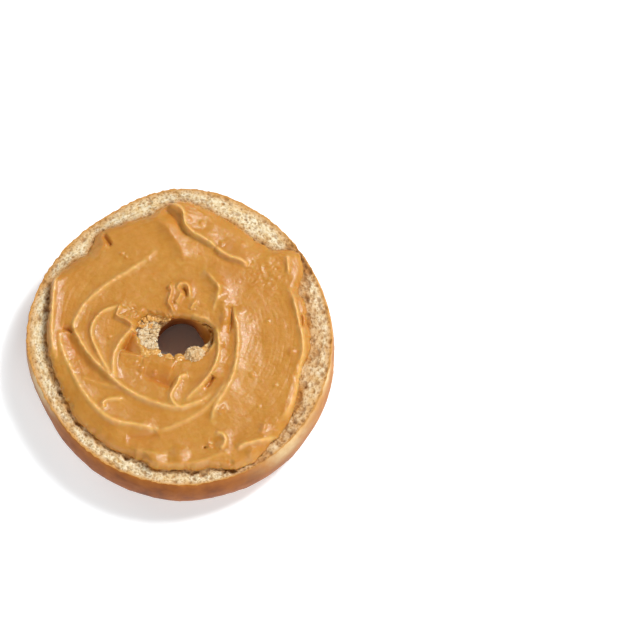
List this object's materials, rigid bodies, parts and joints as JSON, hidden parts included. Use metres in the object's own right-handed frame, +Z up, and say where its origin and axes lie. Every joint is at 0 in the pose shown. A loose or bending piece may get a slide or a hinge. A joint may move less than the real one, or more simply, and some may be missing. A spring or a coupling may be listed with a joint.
{
  "type": "bagel with peanut butter",
  "caption": "Cut half of a bagel lying face up, round with a hole through the middle, its cut face spread with swirled peanut butter inside a bare crumb rim.",
  "frame": {"origin": "middle of the footprint, on the surface the half rests on", "axes": "+Z up out of the cut face, +X to the right and -Y to the front as the picture shows it"},
  "size_m": [0.1152, 0.121, 0.0254],
  "materials": {
    "baked_bread": "golden brown baked crust, cream crumb on the cut face",
    "nut_spread": "smooth oily tan spread with knife ridges"
  },
  "bodies": {
    "root": {"bagel_half": "baked_bread", "peanut_butter": "nut_spread"}
  },
  "joints": []
}
